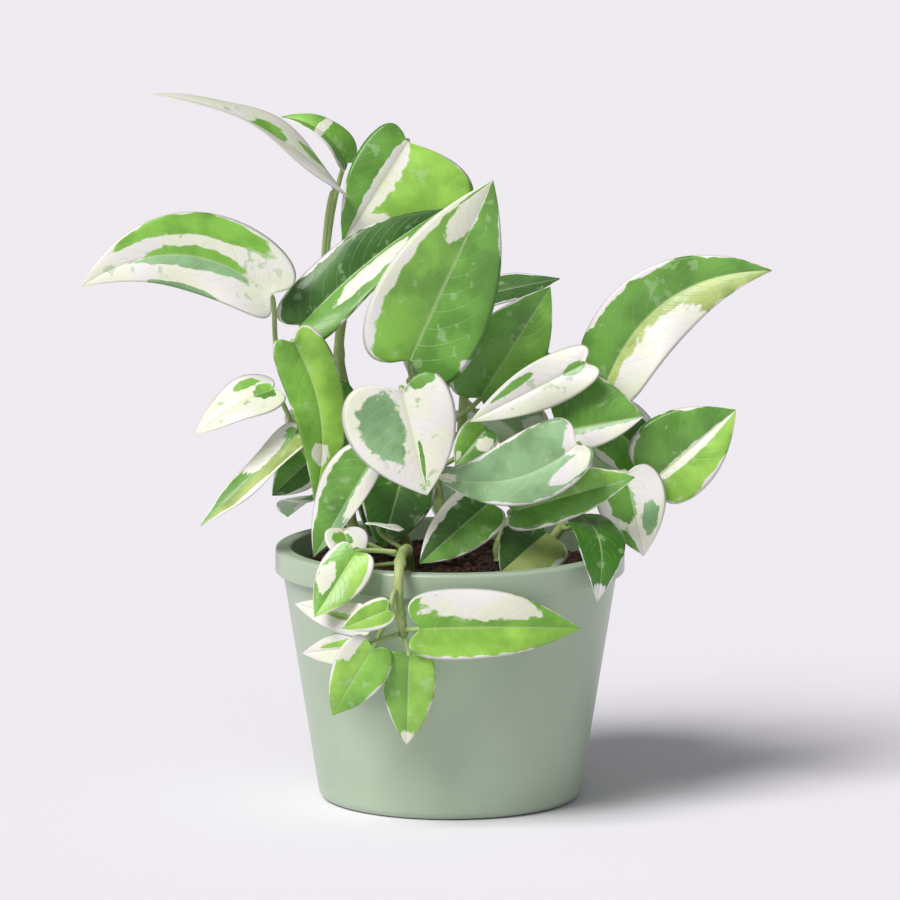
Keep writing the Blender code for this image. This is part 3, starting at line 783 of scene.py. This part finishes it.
def crumb_tree(seed):
    """Scatters lumpy crumbs over a surface.

    Its inputs are how many lie on a square metre, and their smallest and largest radius.
    """
    tree = bpy.data.node_groups.new("soil crumbs", "GeometryNodeTree")
    tree.interface.new_socket("Geometry", in_out="INPUT", socket_type="NodeSocketGeometry")
    for label in ("Density", "Smallest", "Largest"):
        tree.interface.new_socket(label, in_out="INPUT", socket_type="NodeSocketFloat")
    tree.interface.new_socket("Geometry", in_out="OUTPUT", socket_type="NodeSocketGeometry")
    given, result = tree.nodes.new("NodeGroupInput"), tree.nodes.new("NodeGroupOutput")
    spread = {"Mesh": given.outputs["Geometry"], "Density": given.outputs["Density"], "Seed": seed}
    points = node(tree, "GeometryNodeDistributePointsOnFaces", spread)
    lump = node(tree, "GeometryNodeMeshIcoSphere", {"Radius": 1.0, "Subdivisions": 2})
    wobble = node(tree, "ShaderNodeTexNoise", {"Scale": 1.3})
    shift = {0: wobble.outputs["Color"], 1: (0.5, 0.5, 0.5)}
    centred = node(tree, "ShaderNodeVectorMath", shift, operation="SUBTRACT")
    moved = {"Geometry": lump.outputs["Mesh"], "Offset": centred.outputs[0]}
    lumpy = node(tree, "GeometryNodeSetPosition", moved)
    most_turned = {1: (6.28, 6.28, 6.28), "Seed": seed + 1}
    turn = node(tree, "FunctionNodeRandomValue", most_turned, data_type="FLOAT_VECTOR")
    sizes = {2: given.outputs["Smallest"], 3: given.outputs["Largest"], "Seed": seed + 2}
    size = node(tree, "FunctionNodeRandomValue", sizes, data_type="FLOAT")
    copies = {
        "Points": points.outputs["Points"],
        "Instance": lumpy.outputs[0],
        "Rotation": turn.outputs[0],
        "Scale": size.outputs[1],
    }
    placed = node(tree, "GeometryNodeInstanceOnPoints", copies)
    real = node(tree, "GeometryNodeRealizeInstances", {0: placed.outputs[0]})
    tree.links.new(real.outputs[0], result.inputs[0])
    return tree


def scatter(name, ground, finish, density, smallest, largest, seed):
    """Crumbs over the ground as one plain mesh. Their radii are in millimetres."""
    carrier = bpy.data.objects.new(name, ground.copy())
    bpy.context.scene.collection.objects.link(carrier)
    modifier = carrier.modifiers.new("Crumbs", "NODES")
    modifier.node_group = crumb_tree(seed)
    values = {"Density": density, "Smallest": smallest * MM, "Largest": largest * MM}
    for item in modifier.node_group.interface.items_tree:
        if item.in_out == "INPUT" and item.name in values:
            modifier[item.identifier] = values[item.name]
    bpy.context.view_layer.update()
    graph = bpy.context.evaluated_depsgraph_get()
    mesh = bpy.data.meshes.new_from_object(carrier.evaluated_get(graph))
    bpy.data.objects.remove(carrier, do_unlink=True)
    mesh.materials.clear()
    piece = add_piece(name, mesh, finish)
    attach(piece, "root")


def make_soil(groups):
    """The soil with an uneven top, and crumbs and bark chips lying on it."""
    top = inner_radius(SOIL_LEVEL) - SOIL_GAP
    profile = [(0, SOIL_LEVEL - 0.8)] + [(top * k / 30, SOIL_LEVEL - 0.8) for k in range(1, 30)]
    bottom = FLOOR + SOIL_GAP
    profile += [(top, SOIL_LEVEL - 2), (inner_radius(FLOOR) - SOIL_GAP, bottom), (0, bottom)]
    mesh = lathe("soil_fine", profile)
    for vertex in mesh.vertices:
        if vertex.co.z > (SOIL_LEVEL - 1) * MM:
            swells = noise.noise(vertex.co * 90) * 1.3 * MM
            grit = noise.noise(vertex.co * 380) * 0.5 * MM
            vertex.co.z += swells + grit
    earth = plain_material(
        "damp potting mix", groups, EARTH, roughness=0.92, coarse=260.0, fine=2200.0, bump_mm=0.8
    )
    piece = add_piece("soil_fine", mesh, earth)
    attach(piece, "root")
    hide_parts("soil")
    ground = lathe("ground", [(0, SOIL_LEVEL - 0.6), (top - 1.5, SOIL_LEVEL - 0.6)])
    scatter("soil_crumbs", ground, earth, density=130000, smallest=0.5, largest=1.3, seed=3)
    bark = plain_material("bark chips", groups, BARK, roughness=0.85, coarse=400.0, fine=2500.0, bump_mm=0.4)
    scatter("soil_chips", ground, bark, density=22000, smallest=0.9, largest=1.9, seed=11)


def add_sun(name, strength, elevation, azimuth, spread, colour=(1, 1, 1)):
    """A sun lamp. Its angles are in degrees, and its azimuth runs from the front towards the right."""
    lamp = bpy.data.lights.new(name, "SUN")
    lamp.energy = strength
    lamp.angle = math.radians(spread)
    lamp.color = colour
    held = bpy.data.objects.new(name, lamp)
    up, turn = math.radians(elevation), math.radians(azimuth)
    towards = Vector((math.sin(turn) * math.cos(up), -math.cos(turn) * math.cos(up), math.sin(up)))
    held.rotation_euler = towards.to_track_quat("Z", "Y").to_euler()
    bpy.context.scene.collection.objects.link(held)


def make_stage():
    """The floor, the studio light and the camera."""
    scene = bpy.context.scene
    scene.view_settings.view_transform = "Standard"
    bpy.ops.mesh.primitive_plane_add(size=FLOOR_SIZE, location=(0, 0, 0))
    floor = bpy.context.object
    floor.name = "floor"
    made, _, shader = shader_material("pale floor", 1.0)
    shader.inputs["Base Color"].default_value = PALE_FLOOR
    shader.inputs["Specular IOR Level"].default_value = 0.0
    floor.data.materials.append(made)
    world = bpy.data.worlds.new("studio")
    world.use_nodes = True
    backdrop = world.node_tree.nodes["Background"]
    backdrop.inputs["Color"].default_value = STUDIO
    backdrop.inputs["Strength"].default_value = 0.24
    scene.world = world
    add_sun("key", strength=3.05, elevation=50, azimuth=-46, spread=30, colour=KEY_LIGHT)
    add_sun("fill", strength=0.12, elevation=35, azimuth=-10, spread=60)
    camera = bpy.data.cameras.new("view")
    camera.lens = CAMERA_LENS
    camera.clip_end = 100
    held = bpy.data.objects.new("view", camera)
    tilt = math.radians(CAMERA_ELEVATION)
    away = Vector((0, -math.cos(tilt), math.sin(tilt)))
    held.location = Vector((0, 0, CAMERA_AIM_HEIGHT)) + away * CAMERA_DISTANCE
    held.rotation_euler = away.to_track_quat("Z", "Y").to_euler()
    scene.collection.objects.link(held)
    scene.camera = held


def main():
    """Makes the stage, then every piece."""
    make_stage()
    groups = {"patch": patch_group(), "veins": vein_group(), "grain": grain_group()}
    make_pot(groups)
    make_soil(groups)
    stem = plain_material("green stem", groups, STEM, roughness=0.5, coarse=120.0, fine=900.0, bump_mm=0.15)
    routes = {}
    for vine in VINES:
        routes[vine.name] = catmull_rom(vine.points, SEAT_STEPS)
        make_vine(vine, catmull_rom(vine.points, VINE_STEPS), stem)
    for number, leaf in enumerate(LEAVES):
        make_leaf(leaf, routes, number, groups)


main()
